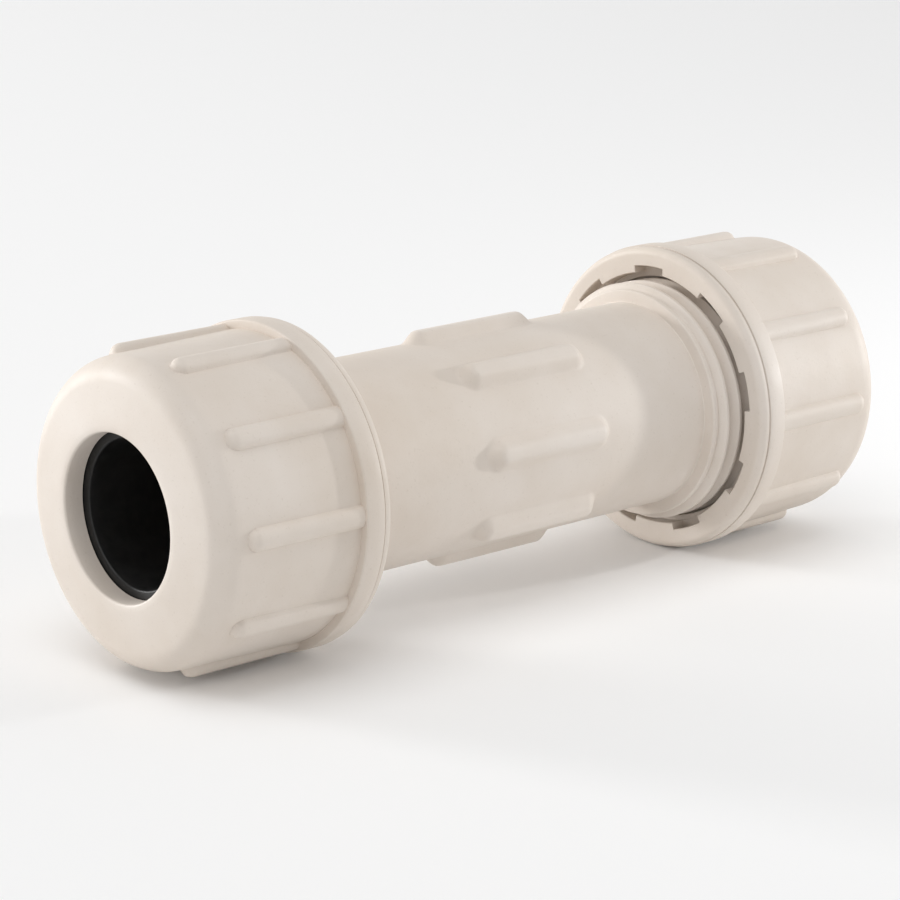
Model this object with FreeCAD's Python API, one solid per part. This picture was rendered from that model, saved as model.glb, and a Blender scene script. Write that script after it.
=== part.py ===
"""Straight compression fitting that joins two plain pipe ends with two screwed nuts.

Five separate pieces: one moulded body with a male thread at each end, two ribbed nuts,
and two rubber gaskets that the nuts press into the ends of the body.

Each piece is modelled about the Z axis with the middle of the body at the origin, then
laid down, so that on the finished part the pipe axis is X and +Z is up. Millimetres.
Angles about the pipe axis are counted from -Y towards +Z on the finished part.
"""
import FreeCAD, Part
import math
import os

Vec = FreeCAD.Vector

# ---------------------------------------------------------------- driving sizes
# Pipe that the fitting takes, and the room it has
PIPE_RADIUS = 10.67
PIPE_CLEARANCE_IN_BODY = 0.28
PIPE_CLEARANCE_IN_NUT = 0.33

# Body: barrel, collar in front of the thread, pipe stop, gasket seat
BODY_HALF_LENGTH = 53.7
BARREL_WALL = 3.6
BARREL_HALF_LENGTH = 29.9
THREAD_WALL = 4.65
COLLAR_RUN = 0.1
COLLAR_WIDTH = 0.8
COLLAR_RISE = 0.7
STOP_HALF_WIDTH = 1.5
STOP_HEIGHT = 1.2
STOP_CHAMFER = 0.4
SEAT_DEPTH = 11.5
SEAT_RIM = 1.25
BODY_END_CHAMFER = 1.0

# Body: grip ribs
BODY_RIB_COUNT = 8
BODY_RIB_HEIGHT = 1.65
BODY_RIB_TOP_WIDTH = 1.8
BODY_RIB_SIDE_RUN = 1.55
BODY_RIB_HALF_LENGTH = 11.1
BODY_RIB_EDGE_ROUND = 0.8
BODY_RIB_ANGLE = 8.3

# Thread, right hand, the same form at both ends
PITCH = 2.5
THREAD_DEPTH_PER_PITCH = 0.62
CREST_FLAT_PER_PITCH = 0.2
FLANK_ANGLE = 30.0
THREAD_START_ANGLE = 180.0
FADE_TURNS = 0.12
THREAD_CREST_CLEARANCE = 0.3
THREAD_ROOT_CLEARANCE = 0.5
THREAD_SIDE_CLEARANCE = 0.2

# Nut: shell
NUT_LENGTH = 27.15
NUT_WALL = 3.35
NUT_WALL_DRAFT = 0.5
NUT_LIP_THICKNESS = 2.85
NUT_CHAMBER_LENGTH = 4.4
NUT_CHAMBER_CLEARANCE = 0.4
NUT_CORNER_ROUND = 3.5
NUT_BORE_EDGE_ROUND = 0.3
FLANGE_HEIGHT = 1.2
FLANGE_WIDTH = 4.4
FLANGE_EDGE_ROUND = 1.0
FLANGE_FRONT_ROUND = 0.25

# Nut: mouth and the notches around it
MOUTH_RELIEF = 0.75
MOUTH_DEPTH = 2.4
NOTCH_COUNT = 9
NOTCH_SPREAD = 17.0
NOTCH_HEIGHT = 1.0
NOTCH_DEPTH = 2.2
NOTCH_ANGLE = 14.2

# Nut: grip ribs
NUT_RIB_COUNT = 10
NUT_RIB_RISE = 0.87
NUT_RIB_WIDTH = 2.9
NUT_RIB_SETBACK = 4.9
NUT_RIB_END_RUN = 0.9
NUT_RIB_EDGE_ROUND = 0.4
RIGHT_NUT_TURN = -0.5
LEFT_NUT_TURN = -1.9

# Gasket
GASKET_FLANGE_LENGTH = 4.35
GASKET_GRIP = 0.87
GASKET_RIM_INSET = 0.1
GASKET_NOSE_LENGTH = 10.2
GASKET_EDGE_ROUND = 0.5
GASKET_BORE_ROUND = 0.25
SEAT_GAP = 0.15

# How far a rib or a ridge reaches into the wall that carries it
ROOTING = 0.8
RIDGE_ROOTING = 0.1
RIDGE_IN_COLLAR = 0.04
RIDGE_LEAD_SETBACK = 0.3

# ---------------------------------------------------------------- sizes that follow
body_bore = PIPE_RADIUS + PIPE_CLEARANCE_IN_BODY
barrel_radius = body_bore + BARREL_WALL
root_radius = body_bore + THREAD_WALL
thread_depth = THREAD_DEPTH_PER_PITCH * PITCH
crest_radius = root_radius + thread_depth
crest_flat = CREST_FLAT_PER_PITCH * PITCH
flank_run = math.tan(math.radians(FLANK_ANGLE))
collar_radius = root_radius + COLLAR_RISE
collar_back = BARREL_HALF_LENGTH + COLLAR_RUN
collar_front = collar_back + COLLAR_WIDTH
collar_foot = collar_front + (collar_radius - root_radius) * flank_run
seat_radius = root_radius - SEAT_RIM
seat_slope = (seat_radius - body_bore) / SEAT_DEPTH

nut_bore = PIPE_RADIUS + PIPE_CLEARANCE_IN_NUT
nut_major = crest_radius + THREAD_CREST_CLEARANCE
nut_minor = root_radius + THREAD_ROOT_CLEARANCE
mouth_radius = nut_major + MOUTH_RELIEF
nut_side_back = nut_major + NUT_WALL
nut_side_front = nut_side_back - NUT_WALL_DRAFT
flange_radius = nut_side_back + FLANGE_HEIGHT
nut_rib_radius = nut_side_back + NUT_RIB_RISE

gasket_bore = PIPE_RADIUS - GASKET_GRIP
gasket_radius = root_radius - GASKET_RIM_INSET
gasket_back = BODY_HALF_LENGTH + SEAT_GAP
gasket_front = gasket_back + GASKET_FLANGE_LENGTH
lip_inside = gasket_front + SEAT_GAP
chamber_radius = gasket_radius + NUT_CHAMBER_CLEARANCE
nut_end = lip_inside + NUT_LIP_THICKNESS
nut_mouth = nut_end - NUT_LENGTH
flange_front = nut_mouth + FLANGE_WIDTH
nut_thread_start = nut_mouth + MOUTH_DEPTH
nut_thread_end = lip_inside - NUT_CHAMBER_LENGTH
nut_rib_end = nut_end - NUT_RIB_SETBACK


# ---------------------------------------------------------------- helpers
def outline(points):
    """Closed wire through (radius, height) points in the XZ plane."""
    corners = [Vec(radius, 0, height) for radius, height in points]
    return Part.makePolygon(corners + [corners[0]])


def turned(points):
    """Solid of revolution about Z from (radius, height) points."""
    return Part.Face(outline(points)).revolve(Vec(0, 0, 0), Vec(0, 0, 1), 360)


def rounded_rims(shape, rims):
    """Rounds circular edges about Z, each given as (radius, height, size of round)."""
    for radius, height, size in rims:
        edges = [
            edge
            for edge in shape.Edges
            if isinstance(edge.Curve, Part.Circle)
            and abs(edge.Curve.Radius - radius) < 1e-3
            and abs(edge.Curve.Center.z - height) < 1e-3
        ]
        shape = shape.makeFillet(size, edges)
    return shape


def about_axis(shape, degrees):
    """Copy of a shape turned about Z."""
    copy = shape.copy()
    copy.rotate(Vec(0, 0, 0), Vec(0, 0, 1), degrees)
    return copy


def at_angle(shape, angle):
    """Copy of a shape modelled on +X, at an angle about the finished part's axis."""
    return about_axis(shape, -90.0 - angle)


def spaced(shape, count, angle):
    """Copies of a shape spaced evenly about the axis, one of them at the angle."""
    return [at_angle(shape, angle + k * 360.0 / count) for k in range(count)]


def end_for_end(shape):
    """Copy of a shape for the other end of the fitting."""
    copy = shape.copy()
    copy.rotate(Vec(0, 0, 0), Vec(1, 0, 0), 180)
    return copy


def laid_down(shape):
    """Copy with the pipe axis along X."""
    copy = shape.copy()
    copy.rotate(Vec(0, 0, 0), Vec(0, 1, 0), 90)
    return copy


# ---------------------------------------------------------------- thread
def ridge_turn(profile, radius, height, turns=1.0):
    """Right-hand ridge about Z that starts on +X at a height, up to one turn long."""
    path = Part.Wire(Part.makeHelix(PITCH, turns * PITCH, radius).Edges)
    ridge = path.makePipeShell([outline(profile)], True, True)
    ridge.translate(Vec(0, 0, height))
    return ridge


def ridge_turns(turn, count):
    """Copies of a one-turn ridge, each a pitch further on."""
    copies = [turn.copy() for _ in range(count)]
    for k, copy in enumerate(copies):
        copy.translate(Vec(0, 0, k * PITCH))
    return copies


def inside(shapes, window):
    """The solids that are left of the shapes inside a window."""
    return [solid for shape in shapes for solid in shape.common(window).Solids]


def joined(shape, pieces):
    """Fuses helical pieces on one at a time, which holds up better than all at once."""
    for piece in pieces:
        shape = shape.fuse(piece)
    return shape


def body_thread():
    """Male ridge that rises out of the collar's rim and ends in the chamfer of the body's end."""
    base = root_radius - RIDGE_ROOTING
    half_base = crest_flat / 2 + (crest_radius - base) * flank_run
    profile = [
        (base, -half_base),
        (crest_radius, -crest_flat / 2),
        (crest_radius, crest_flat / 2),
        (base, half_base),
    ]
    # a plane that touches the root where the ridge begins takes its height down to nothing
    reach = 2 * crest_radius
    back = collar_back + RIDGE_IN_COLLAR
    below_plane = Part.makeBox(reach + root_radius, 2 * reach, 2 * PITCH)
    below_plane.translate(Vec(-reach, -reach, back))
    lead = ridge_turn(profile, root_radius, collar_front, FADE_TURNS)
    lead = inside([lead], below_plane)
    main_start = collar_front + FADE_TURNS * PITCH
    count = math.ceil((BODY_HALF_LENGTH - main_start) / PITCH) + 1
    main = ridge_turns(ridge_turn(profile, root_radius, main_start), count)
    blank = turned([
        (0, back),
        (crest_radius + BODY_END_CHAMFER, back),
        (crest_radius + BODY_END_CHAMFER, BODY_HALF_LENGTH - 2 * BODY_END_CHAMFER),
        (crest_radius - BODY_END_CHAMFER, BODY_HALF_LENGTH),
        (0, BODY_HALF_LENGTH),
    ])
    main = inside([about_axis(turn, FADE_TURNS * 360) for turn in main], blank)
    return [at_angle(piece, THREAD_START_ANGLE) for piece in lead + main]


def nut_thread():
    """Female ridge in the middle of the body's groove, with its lead-in at the mouth."""
    groove_at_tip = PITCH - crest_flat - 2 * (crest_radius - nut_minor) * flank_run
    half_tip = groove_at_tip / 2 - THREAD_SIDE_CLEARANCE
    base = nut_major + RIDGE_ROOTING
    half_base = half_tip + (base - nut_minor) * flank_run
    profile = [
        (base, -half_base),
        (nut_minor, -half_tip),
        (nut_minor, half_tip),
        (base, half_base),
    ]
    groove_start = collar_front + PITCH / 2
    turns_skipped = math.floor((nut_thread_start - groove_start) / PITCH) - 1
    low = groove_start + turns_skipped * PITCH
    count = math.ceil((nut_thread_end - low) / PITCH) + 1
    turns = ridge_turns(ridge_turn(profile, nut_major, low), count)
    tip_room = nut_minor - PITCH
    lead_in = nut_thread_start + RIDGE_LEAD_SETBACK
    window = turned([
        (mouth_radius, lead_in + nut_major - mouth_radius),
        (tip_room, lead_in + nut_major - tip_room),
        (tip_room, nut_thread_end + ROOTING),
        (mouth_radius, nut_thread_end + ROOTING),
    ])
    return [at_angle(piece, THREAD_START_ANGLE) for piece in inside(turns, window)]


# ---------------------------------------------------------------- pieces
def body_ribs():
    """Grip ribs along the barrel, with sloping sides and round sloping ends."""
    base = barrel_radius - ROOTING
    tip = barrel_radius + BODY_RIB_HEIGHT
    half_top = BODY_RIB_TOP_WIDTH / 2
    half_base = half_top + BODY_RIB_SIDE_RUN * (tip - base) / BODY_RIB_HEIGHT
    end_centre = BODY_RIB_HALF_LENGTH - BODY_RIB_SIDE_RUN - half_top
    rib = Part.makeLoft([stadium(base, half_base, end_centre), stadium(tip, half_top, end_centre)], True, True)
    rim = [edge for edge in rib.Edges if abs(edge.BoundBox.XMin - tip) < 1e-6]
    return spaced(rib.makeFillet(BODY_RIB_EDGE_ROUND, rim), BODY_RIB_COUNT, BODY_RIB_ANGLE)


def stadium(radius, half_width, end_centre):
    """Closed wire that faces +X: two straight sides and two half circles."""
    near, far = Vec(radius, 0, -end_centre - half_width), Vec(radius, 0, end_centre + half_width)
    corners = [Vec(radius, y * half_width, z * end_centre) for y, z in ((-1, -1), (-1, 1), (1, 1), (1, -1))]
    return Part.Wire([
        Part.LineSegment(corners[0], corners[1]).toShape(),
        Part.Arc(corners[1], far, corners[2]).toShape(),
        Part.LineSegment(corners[2], corners[3]).toShape(),
        Part.Arc(corners[3], near, corners[0]).toShape(),
    ])


def body():
    """Barrel with grip ribs and a pipe stop; at each end a collar, a male thread and a gasket seat."""
    half = [
        (barrel_radius, 0),
        (barrel_radius, BARREL_HALF_LENGTH),
        (collar_radius, collar_back),
        (collar_radius, collar_front),
        (root_radius, collar_foot),
        (root_radius, BODY_HALF_LENGTH),
        (seat_radius, BODY_HALF_LENGTH),
        (body_bore, BODY_HALF_LENGTH - SEAT_DEPTH),
        (body_bore, STOP_HALF_WIDTH + STOP_CHAMFER),
        (body_bore - STOP_HEIGHT, STOP_HALF_WIDTH),
        (body_bore - STOP_HEIGHT, 0),
    ]
    end = joined(turned(half), body_thread())
    return end.multiFuse([end_for_end(end)] + body_ribs()).removeSplitter()


def nut_ribs():
    """Grip ribs from the flange forward, round in plan and sloping at the front end."""
    half = NUT_RIB_WIDTH / 2
    base = nut_side_front - ROOTING
    back = flange_front - ROOTING
    shoulder = nut_rib_end - half
    plan = Part.Wire([
        Part.LineSegment(Vec(base, -half, back), Vec(base, -half, shoulder)).toShape(),
        Part.Arc(Vec(base, -half, shoulder), Vec(base, 0, nut_rib_end), Vec(base, half, shoulder)).toShape(),
        Part.LineSegment(Vec(base, half, shoulder), Vec(base, half, back)).toShape(),
        Part.LineSegment(Vec(base, half, back), Vec(base, -half, back)).toShape(),
    ])
    post = Part.Face(plan).extrude(Vec(nut_rib_radius + ROOTING - base, 0, 0))
    slope_height = nut_rib_radius - nut_side_front
    envelope = turned([
        (0, back),
        (nut_rib_radius, back),
        (nut_rib_radius, nut_rib_end - NUT_RIB_END_RUN),
        (nut_side_front - slope_height, nut_rib_end + NUT_RIB_END_RUN),
        (0, nut_rib_end + NUT_RIB_END_RUN),
    ])
    rib = post.common(envelope)
    rim = [edge for edge in rib.Edges if on_top(edge)]
    return spaced(rib.makeFillet(NUT_RIB_EDGE_ROUND, rim), NUT_RIB_COUNT, 0)


def on_top(edge):
    """Whether an edge of the nut's rib runs along its top and not across the flange."""
    middle = edge.valueAt((edge.FirstParameter + edge.LastParameter) / 2)
    height = math.hypot(middle.x, middle.y)
    return height > nut_side_back and middle.z > flange_front and edge.Length > NUT_RIB_WIDTH / 2


def notches():
    """Cutters for the notches around the mouth."""
    start = Vec(0, 0, nut_mouth)
    sector = Part.makeCylinder(mouth_radius + NOTCH_HEIGHT, NOTCH_DEPTH, start, Vec(0, 0, 1), NOTCH_SPREAD)
    return spaced(about_axis(sector, -NOTCH_SPREAD / 2), NOTCH_COUNT, NOTCH_ANGLE)


def nut():
    """Nut for the +Z end, with a rib at angle 0."""
    shell = turned([
        (nut_bore, nut_end),
        (nut_side_front, nut_end),
        (nut_side_back, flange_front),
        (flange_radius, flange_front),
        (flange_radius, nut_mouth),
        (mouth_radius, nut_mouth),
        (mouth_radius, nut_thread_start),
        (nut_major, nut_thread_start),
        (nut_major, nut_thread_end),
        (chamber_radius, nut_thread_end),
        (chamber_radius, lip_inside),
        (nut_bore, lip_inside),
    ])
    shell = rounded_rims(shell, [
        (nut_side_front, nut_end, NUT_CORNER_ROUND),
        (nut_bore, nut_end, NUT_BORE_EDGE_ROUND),
        (flange_radius, nut_mouth, FLANGE_EDGE_ROUND),
        (flange_radius, flange_front, FLANGE_FRONT_ROUND),
    ])
    whole = joined(shell, nut_thread())
    return whole.multiFuse(nut_ribs()).cut(Part.makeCompound(notches()))


def screwed(shape, turn):
    """Copy of the nut turned by so many degrees on its thread, and moved as the thread moves it."""
    copy = about_axis(shape, -turn)
    copy.translate(Vec(0, 0, -turn / 360.0 * PITCH))
    return copy


def gasket():
    """Rubber ring for the +Z end: a flat flange behind the nut's lip and a tapered nose."""
    nose_tip = gasket_back - GASKET_NOSE_LENGTH
    gap = SEAT_GAP * math.hypot(1, seat_slope)
    nose_back_radius = seat_radius + SEAT_GAP * seat_slope - gap
    nose_tip_radius = nose_back_radius - GASKET_NOSE_LENGTH * seat_slope
    ring = turned([
        (gasket_bore, gasket_front),
        (gasket_radius, gasket_front),
        (gasket_radius, gasket_back),
        (nose_back_radius, gasket_back),
        (nose_tip_radius, nose_tip),
        (gasket_bore, nose_tip),
    ])
    return rounded_rims(ring, [
        (gasket_radius, gasket_front, GASKET_EDGE_ROUND),
        (gasket_bore, gasket_front, GASKET_BORE_ROUND),
    ])


# ---------------------------------------------------------------- build and write
one_nut = nut()
one_gasket = gasket()
nodes = {
    "body": body(),
    "right_nut": screwed(one_nut, RIGHT_NUT_TURN),
    "left_nut": end_for_end(screwed(one_nut, LEFT_NUT_TURN)),
    "right_gasket": one_gasket,
    "left_gasket": end_for_end(one_gasket),
}

os.makedirs("parts", exist_ok=True)
for name, shape in nodes.items():
    solid = laid_down(shape).Solids[0]
    solid.exportStep(f"parts/{name}.step")
    box = solid.BoundBox
    print(
        f"{name}: {len(shape.Solids)} solid, valid {solid.isValid()}, volume {solid.Volume:.1f} mm3,"
        f" x {box.XMin:.2f} to {box.XMax:.2f}, y {box.YMin:.2f} to {box.YMax:.2f}"
    )
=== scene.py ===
# %% [markdown]
# # A compression fitting in ribbed nuts
#
# This notebook dresses a plumbing fitting: a threaded tube, a ribbed nut on each end of it and
# a black rubber gasket under each nut. The engineering model comes first. Its solids are the
# frame, in metres, with the pipe axis along X, and every piece made here sits exactly on them.

# %% Load the frame
import math

import bpy
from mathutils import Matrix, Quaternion, Vector


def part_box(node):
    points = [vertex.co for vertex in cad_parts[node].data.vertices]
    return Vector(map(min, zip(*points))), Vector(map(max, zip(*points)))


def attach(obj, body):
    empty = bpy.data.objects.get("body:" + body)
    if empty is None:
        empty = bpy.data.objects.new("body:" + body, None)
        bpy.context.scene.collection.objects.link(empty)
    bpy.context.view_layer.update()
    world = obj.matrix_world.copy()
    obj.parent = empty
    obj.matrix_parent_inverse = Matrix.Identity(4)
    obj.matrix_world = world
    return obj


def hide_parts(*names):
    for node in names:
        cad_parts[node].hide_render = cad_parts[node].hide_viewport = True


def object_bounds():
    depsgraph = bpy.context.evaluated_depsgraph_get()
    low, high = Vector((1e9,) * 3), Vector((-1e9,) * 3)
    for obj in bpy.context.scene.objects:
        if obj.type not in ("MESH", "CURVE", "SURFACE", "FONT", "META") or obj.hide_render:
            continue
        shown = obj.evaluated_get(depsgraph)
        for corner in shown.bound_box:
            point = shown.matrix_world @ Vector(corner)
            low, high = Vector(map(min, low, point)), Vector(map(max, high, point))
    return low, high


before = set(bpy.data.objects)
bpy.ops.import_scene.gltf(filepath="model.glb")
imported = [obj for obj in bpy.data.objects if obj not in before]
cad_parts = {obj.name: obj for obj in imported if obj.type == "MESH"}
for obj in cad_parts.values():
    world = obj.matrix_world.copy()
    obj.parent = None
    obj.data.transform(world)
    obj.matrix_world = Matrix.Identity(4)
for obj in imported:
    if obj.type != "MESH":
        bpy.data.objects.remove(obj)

cad_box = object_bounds()
print("length of the fitting, mm:", round((cad_box[1][0] - cad_box[0][0]) * 1000, 2))

# %% [markdown]
# ## Sizes
#
# The main sizes are read from the frame's boxes, so that the dressed pieces can't drift away
# from the solids. What a box can't tell, such as the pitch of the thread or how wide a rib is,
# is written once here. Lengths are in millimetres until a mesh is made.

# %% Read the main sizes from the frame
MM = 0.001
FULL_TURN = 2 * math.pi


def in_mm(node):
    """Lowest and highest corner of a frame node, in millimetres."""
    return [[coordinate / MM for coordinate in corner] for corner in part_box(node)]


body_low, body_high = in_mm("body")
nut_low, nut_high = in_mm("right_nut")
gasket_low, gasket_high = in_mm("right_gasket")

body_end = body_high[0]
crest_radius = min(body_high[1], body_high[2], -body_low[1], -body_low[2])
flange_radius = min(nut_high[1], nut_high[2], -nut_low[1], -nut_low[2])
print("body ends at", round(body_end, 2), "and its thread's crest is at radius", round(crest_radius, 2))

# %% Sizes of the thread
PITCH = 2.5
THREAD_DEPTH = 1.55
CREST_HALF = 0.25
FLANK_RUN = math.tan(math.radians(30))
RIDGE_START = 30.8
RIDGE_START_ANGLE = 180.0
END_CHAMFER = 1.0
RIDGE_CLEARANCE = 0.2
COLLAR_BACK = 29.9
COLLAR_RUN = 0.1
COLLAR_WIDTH = 0.8
COLLAR_RISE = 0.7

root_radius = crest_radius - THREAD_DEPTH
collar_radius = root_radius + COLLAR_RISE
collar_front = COLLAR_BACK + COLLAR_RUN + COLLAR_WIDTH
thread_from = collar_front + (collar_radius - root_radius) * FLANK_RUN
print("thread runs from", round(thread_from, 2), "to", round(body_end, 2))
print("its root stands at radius", round(root_radius, 2))

# %% [markdown]
# ## Writing formulas as nodes
#
# The tube and the nuts are turned shapes with something that follows a rule on them: ribs
# spaced evenly round the axis, notches, a helical ridge. One way to make them is to cut and
# join solids, which leaves torn faces where a rib meets a wall. Here each piece is one grid of
# points instead. The grid is wrapped round the axis, and Geometry Nodes work out from a formula
# how far from the axis each point stands. The mesh is closed and even, and every edge can be
# as soft as a moulded one.
#
# A formula of thirty Math nodes is hard to read as links, so a small class does the wiring:
# adding or multiplying two of its numbers adds the node that does that.

# %% A number inside a node tree
def feed(tree, value, socket):
    """Links a number of the tree to a socket, or sets the socket to a plain value."""
    if isinstance(value, Quantity):
        tree.links.new(value.source, socket)
    else:
        socket.default_value = value


class Quantity:
    """A number that the tree works out for each point."""

    def __init__(self, tree, source):
        self.tree = tree
        self.source = source

    def by(self, operation, *others):
        """This number and the others put through a Math node."""
        worked = self.tree.nodes.new("ShaderNodeMath")
        worked.operation = operation
        for socket, value in zip(worked.inputs, (self, *others)):
            feed(self.tree, value, socket)
        return Quantity(self.tree, worked.outputs[0])

    def __add__(self, other):
        return self.by("ADD", other)

    def __sub__(self, other):
        return self.by("SUBTRACT", other)

    def __mul__(self, other):
        return self.by("MULTIPLY", other)

    def __truediv__(self, other):
        return self.by("DIVIDE", other)

    def __abs__(self):
        return self.by("ABSOLUTE")

    __radd__ = __add__
    __rmul__ = __mul__


def between(value, low, high):
    """The value held between two limits."""
    return value.by("MAXIMUM", low).by("MINIMUM", high)


def soft_step(value, low, high):
    """0 below low, 1 above high, and a smooth S in between."""
    share = between((value - low) / (high - low), 0.0, 1.0)
    return share * share * (share * -2.0 + 3.0)


def nearest(angle, count, first):
    """Angle from the nearest of so many marks spaced round the axis, the first of them given."""
    spacing = count.by("POWER", -1.0) * FULL_TURN
    marks = (angle - first) / spacing
    return (marks - marks.by("ROUND")) * spacing


# %% [markdown]
# ## A profile wrapped round the axis
#
# A lathe turns a profile into a solid, and this tree does the same. The profile is a row of
# points in the half plane above the axis, and the columns are the angles at which it is
# repeated. Both are small meshes that the tree looks up by number, so points can be crowded
# where the shape bends and kept few where it is plain.
#
# A thread needs one more idea. Its edges climb as they go round, and a grid that doesn't climb
# with them would saw through every flank. So the rows under the thread climb one pitch each
# turn. After a full turn each row meets the one that began a pitch further on, and a weld
# closes the seam. At the ends of the thread the rows are held at a limit, where they lie on
# each other and the weld makes them one.

# %% Start and finish a tree
def start_tree(name, sizes):
    """A tree that takes a profile, columns, a material and the named sizes, which it returns."""
    tree = bpy.data.node_groups.new(name, "GeometryNodeTree")
    kinds = {"Profile": "Geometry", "Columns": "Object"}
    kinds |= {**dict.fromkeys(sizes, "Float"), "Finish": "Material"}
    for label, kind in kinds.items():
        socket = tree.interface.new_socket(label, in_out="INPUT", socket_type="NodeSocket" + kind)
        if label in sizes:
            socket.default_value = sizes[label]
    tree.interface.new_socket("Skin", in_out="OUTPUT", socket_type="NodeSocketGeometry")
    given = tree.nodes.new("NodeGroupInput")
    return tree, {label: Quantity(tree, given.outputs[label]) for label in kinds}


def read_table(tree, table, data_type, value, index):
    """A value of the table's point with that index."""
    reader = tree.nodes.new("GeometryNodeSampleIndex")
    reader.data_type = data_type
    tree.links.new(table, reader.inputs["Geometry"])
    tree.links.new(value, reader.inputs["Value"])
    tree.links.new(index.source, reader.inputs["Index"])
    return reader.outputs["Value"]


def count_points(tree, table):
    """How many points a table has."""
    counter = tree.nodes.new("GeometryNodeAttributeDomainSize")
    tree.links.new(table, counter.inputs["Geometry"])
    return Quantity(tree, counter.outputs["Point Count"])


def split(tree, vector):
    """The three coordinates of a vector."""
    splitter = tree.nodes.new("ShaderNodeSeparateXYZ")
    tree.links.new(vector, splitter.inputs[0])
    return [Quantity(tree, output) for output in splitter.outputs]


# %% Wrap the grid
class WrappedGrid:
    """A grid with a row for each point of the profile and a column for each angle."""

    def __init__(self, tree, given):
        self.tree = tree
        self.table = given["Profile"].source
        place = tree.nodes.new("GeometryNodeInputPosition").outputs[0]
        self.place = place
        columns = tree.nodes.new("GeometryNodeObjectInfo")
        feed(tree, given["Columns"], columns.inputs["Object"])
        row_count = count_points(tree, self.table)
        column_count = count_points(tree, columns.outputs["Geometry"])
        grid = tree.nodes.new("GeometryNodeMeshGrid")
        for label, count in (("X", row_count), ("Y", column_count)):
            feed(tree, count, grid.inputs["Size " + label])
            feed(tree, count + 1.0, grid.inputs["Vertices " + label])
        self.mesh = grid.outputs["Mesh"]
        across, along, _ = split(tree, place)
        row = (across + row_count / 2.0).by("ROUND")
        column = (along + column_count / 2.0).by("ROUND")
        self.row = row.by("FLOORED_MODULO", row_count)
        column_read = column.by("FLOORED_MODULO", column_count)
        seen = read_table(tree, columns.outputs["Geometry"], "FLOAT_VECTOR", place, column_read)
        laps = (column / column_count).by("FLOOR")
        self.angle = split(tree, seen)[0] + laps * FULL_TURN

    def profile_point(self):
        """Place along the axis and radius that the profile gives."""
        seen = read_table(self.tree, self.table, "FLOAT_VECTOR", self.place, self.row)
        along, _, radius = split(self.tree, seen)
        return along, radius

    def mark(self, name):
        """A named number of the profile's point."""
        attribute = self.tree.nodes.new("GeometryNodeInputNamedAttribute")
        attribute.data_type = "FLOAT"
        attribute.inputs["Name"].default_value = name
        value = attribute.outputs["Attribute"]
        return Quantity(self.tree, read_table(self.tree, self.table, "FLOAT", value, self.row))


# %% Close, shade and finish the skin
WELD = 2e-6
SHARP_FROM = math.radians(38)


def finish_tree(wrapped, given, along, radius, proud, half_turn=None):
    """Places the grid's points, welds it shut, marks sharp edges and gives it its material."""
    tree = wrapped.tree

    def then(kind, geometry, geometry_input="Geometry", **values):
        made = tree.nodes.new(kind)
        tree.links.new(geometry, made.inputs[geometry_input])
        for label, value in values.items():
            feed(tree, value, made.inputs[label])
        return made

    note = then("GeometryNodeStoreNamedAttribute", wrapped.mesh, Name="proud", Value=proud)
    where = tree.nodes.new("ShaderNodeCombineXYZ")
    feed(tree, along, where.inputs["X"])
    feed(tree, radius * wrapped.angle.by("COSINE") * -1.0, where.inputs["Y"])
    feed(tree, radius * wrapped.angle.by("SINE") * -1.0, where.inputs["Z"])
    placed = then("GeometryNodeSetPosition", note.outputs[0], Position=Quantity(tree, where.outputs[0]))
    welded = then("GeometryNodeMergeByDistance", placed.outputs[0], Distance=WELD)
    edge_angle = tree.nodes.new("GeometryNodeInputMeshEdgeAngle")
    sharp = tree.nodes.new("FunctionNodeCompare")
    sharp.operation = "GREATER_THAN"
    tree.links.new(edge_angle.outputs["Unsigned Angle"], sharp.inputs["A"])
    sharp.inputs["B"].default_value = SHARP_FROM
    smooth = then("GeometryNodeSetShadeSmooth", welded.outputs[0])
    is_sharp = Quantity(tree, sharp.outputs[0])
    edges = then("GeometryNodeSetShadeSmooth", smooth.outputs[0], Selection=is_sharp)
    edges.domain = "EDGE"
    edges.inputs["Shade Smooth"].default_value = False
    turned = then("GeometryNodeTransform", edges.outputs[0])
    if half_turn is not None:
        euler = tree.nodes.new("ShaderNodeCombineXYZ")
        feed(tree, half_turn * math.pi, euler.inputs["Z"])
        tree.links.new(euler.outputs[0], turned.inputs["Rotation"])
    whole = then("GeometryNodeRealizeInstances", turned.outputs[0])
    finished = then("GeometryNodeSetMaterial", whole.outputs[0], Material=given["Finish"])
    result = tree.nodes.new("NodeGroupOutput")
    tree.links.new(finished.outputs[0], result.inputs["Skin"])
    return tree


# %% Turn a tree and its tables into a plain mesh
def table_object(name, points, marks=None):
    """An object whose mesh is a row of points, in metres, with named numbers on them."""
    mesh = bpy.data.meshes.new(name)
    mesh.from_pydata(points, [], [])
    for label, values in (marks or {}).items():
        mesh.attributes.new(label, "FLOAT", "POINT").data.foreach_set("value", values)
    made = bpy.data.objects.new(name, mesh)
    bpy.context.scene.collection.objects.link(made)
    return made


def piece_from_tree(name, tree, profile, columns, values):
    """Runs the tree on the profile, keeps the result as a plain mesh and drops the tables."""
    modifier = profile.modifiers.new("Skin", "NODES")
    modifier.node_group = tree
    values = {"Columns": columns, **values}
    for item in tree.interface.items_tree:
        if item.in_out == "INPUT" and item.name in values:
            modifier[item.identifier] = values[item.name]
    view_layer = bpy.context.evaluated_depsgraph_get()
    mesh = bpy.data.meshes.new_from_object(profile.evaluated_get(view_layer))
    profile.modifiers.remove(modifier)
    for table in (profile, columns):
        bpy.data.objects.remove(table)
    mesh.name = name
    made = bpy.data.objects.new(name, mesh)
    bpy.context.scene.collection.objects.link(made)
    print(name, "has", len(mesh.vertices), "points and", len(mesh.polygons), "faces")
    return made


COLUMN_SPACING = 2.5


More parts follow.
